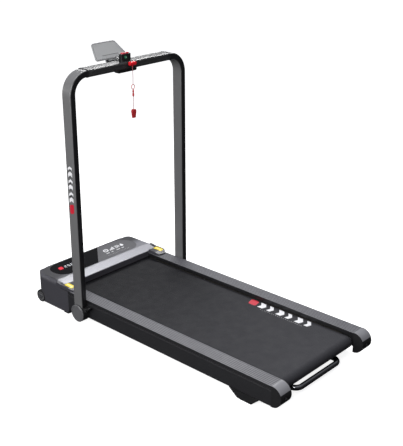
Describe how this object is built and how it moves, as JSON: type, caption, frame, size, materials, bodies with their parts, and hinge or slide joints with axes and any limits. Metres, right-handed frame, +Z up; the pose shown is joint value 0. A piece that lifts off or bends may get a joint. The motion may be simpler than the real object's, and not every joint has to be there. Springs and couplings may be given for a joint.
{
  "type": "treadmill",
  "caption": "Folding walking treadmill: low belt deck with ribbed foot rails, motor cover with display, swing-down handrail with stop key, device tray and safety lanyard.",
  "frame": {"origin": "on the floor under the middle of the treadmill's length and width", "axes": "+Z up, +Y towards the motor end, the way the user faces, +X to the user's right"},
  "size_m": [0.603, 1.285, 1.0605],
  "materials": {
    "frame_paint": "satin black powder coat",
    "skirt_black": "fine-grained matt",
    "rail_grey": "ribbed, fine-grained matt",
    "corner_black": "matt",
    "corner_silver": "satin silver paint",
    "zinc": "zinc plated",
    "nylon": "plain",
    "dark_chrome": "dark polished",
    "foot_black": "matt",
    "pad_rubber": "matt",
    "board": "dark laminated board",
    "belt_rubber": "fine woven-pattern emboss",
    "roller_steel": "turned",
    "pulley_black": "moulded",
    "motor_paint": "semi-gloss",
    "rotor_steel": "turned",
    "flywheel_iron": "machined",
    "circuit_green": "solder mask",
    "sink_alu": "extruded",
    "cover_grey": "satin",
    "bezel_silver": "satin silver paint",
    "window_gloss": "gloss black",
    "icon_grey": "matt film",
    "pan_black": "matt",
    "inlet_black": "moulded",
    "rocker_black": "gloss",
    "wheel_grey": "satin",
    "tyre_black": "matt",
    "upright_grey": "satin dark grey paint",
    "grip_foam": "smooth soft-touch",
    "hub_black": "satin",
    "hub_grey": "satin",
    "pod_black": "semi-gloss",
    "stop_red": "semi-gloss",
    "start_green": "semi-gloss",
    "tray_smoke": "translucent pale grey",
    "key_red": "semi-gloss",
    "cord_pink": "braided",
    "clip_red": "semi-gloss"
  },
  "bodies": {
    "frame": {"side_beams": "frame_paint", "side_skirts": "skirt_black", "foot_rails": "rail_grey", "rear_corner_blocks": "corner_black", "rear_corner_shells": "corner_silver", "frame_bolts": "zinc", "shaft_blocks": "nylon", "cross_members": "frame_paint", "rear_handle": "dark_chrome", "rear_feet": "foot_black", "foot_pads": "pad_rubber", "running_board": "board", "deck_cushions": "pad_rubber", "screws": "zinc", "running_belt": "belt_rubber", "roller_shafts": "zinc", "drive_belt": "pad_rubber", "motor_body": "motor_paint", "motor_bracket": "frame_paint", "circuit_boards": "circuit_green", "heat_sink": "sink_alu", "motor_cover": "cover_grey", "cover_bezel": "bezel_silver", "display_window": "window_gloss", "icon_panel": "icon_grey", "base_pan": "pan_black", "inlet_and_switch_frame": "inlet_black", "wheel_forks": "zinc", "wheel_axles": "zinc"},
    "front_roller": {"front_roller": "roller_steel", "roller_pulley": "pulley_black"},
    "rear_roller": {"rear_roller": "roller_steel"},
    "motor_rotor": {"motor_rotor": "rotor_steel", "motor_pulley": "sink_alu", "motor_flywheel": "flywheel_iron"},
    "wheel_left": {"wheel_rim_left": "wheel_grey", "wheel_tyre_left": "tyre_black"},
    "wheel_right": {"wheel_rim_right": "wheel_grey", "wheel_tyre_right": "tyre_black"},
    "power_switch": {"power_switch": "rocker_black"},
    "handrail": {"handrail_tube": "upright_grey", "grip_sleeve": "grip_foam", "grip_rings": "hub_black", "hub_housings": "hub_black", "hub_caps": "hub_grey", "hinge_pins": "zinc", "control_pod": "pod_black", "console_strap": "pod_black", "lower_housing": "hub_black", "key_seat": "pod_black"},
    "latch_left": {"latch_lever_left": "hub_black"},
    "latch_right": {"latch_lever_right": "hub_black"},
    "start_button": {"start_button": "start_green"},
    "stop_button": {"stop_button": "stop_red"},
    "tray": {"device_tray": "tray_smoke"},
    "safety_key": {"safety_key": "key_red", "lanyard_upper_cord": "cord_pink", "lanyard_hook": "clip_red", "lanyard_lower_cord": "cord_pink", "clothes_clip": "clip_red"}
  },
  "joints": [
    {"name": "handrail_fold", "type": "hinge", "parent": "frame", "child": "handrail", "pos_m": [0, 0.3275, 0.057], "axis": [1, 0, 0], "range_deg": [0, 82]},
    {"name": "latch_left_press", "type": "hinge", "parent": "handrail", "child": "latch_left", "pos_m": [-0.2825, 0.2875, 0.079], "axis": [1, 0, 0], "range_deg": [0, 18], "stiffness_Nm_per_rad": 0.3, "springref_deg": -11.46},
    {"name": "latch_right_press", "type": "hinge", "parent": "handrail", "child": "latch_right", "pos_m": [0.2825, 0.2875, 0.079], "axis": [1, 0, 0], "range_deg": [0, 18], "stiffness_Nm_per_rad": 0.3, "springref_deg": -11.46},
    {"name": "tray_tilt", "type": "hinge", "parent": "handrail", "child": "tray", "pos_m": [-0.038, 0.364, 0.999], "axis": [1, 0, 0], "range_deg": [-40, 40]},
    {"name": "stop_press", "type": "slide", "parent": "handrail", "child": "stop_button", "axis": [0, 0, -1], "range_m": [0, 0.002], "stiffness_N_per_m": 400, "springref_m": -0.001},
    {"name": "start_press", "type": "slide", "parent": "handrail", "child": "start_button", "axis": [0, 1, 0], "range_m": [0, 0.002], "stiffness_N_per_m": 300, "springref_m": -0.001},
    {"name": "key_pull", "type": "slide", "parent": "handrail", "child": "safety_key", "axis": [0, -1, 0], "range_m": [0, 0.012]},
    {"name": "front_roller_spin", "type": "hinge", "parent": "frame", "child": "front_roller", "pos_m": [0, 0.476, 0.0671], "axis": [1, 0, 0], "continuous": true},
    {"name": "rear_roller_spin", "type": "hinge", "parent": "frame", "child": "rear_roller", "pos_m": [0, -0.575, 0.0671], "axis": [1, 0, 0], "continuous": true},
    {"name": "motor_spin", "type": "hinge", "parent": "frame", "child": "motor_rotor", "pos_m": [0, 0.56, 0.068], "axis": [1, 0, 0], "continuous": true},
    {"name": "left_wheel_spin", "type": "hinge", "parent": "frame", "child": "wheel_left", "pos_m": [-0.254, 0.603, 0.027], "axis": [1, 0, 0], "continuous": true},
    {"name": "right_wheel_spin", "type": "hinge", "parent": "frame", "child": "wheel_right", "pos_m": [0.254, 0.603, 0.027], "axis": [1, 0, 0], "continuous": true},
    {"name": "power_switch_rock", "type": "hinge", "parent": "frame", "child": "power_switch", "pos_m": [0.118, 0.6365, 0.082], "axis": [1, 0, 0], "range_deg": [0, 14]}
  ],
  "couplings": [
    {"joint": "rear_roller_spin", "follows": "front_roller_spin", "ratio": 1},
    {"joint": "motor_spin", "follows": "front_roller_spin", "ratio": 2.1818}
  ]
}
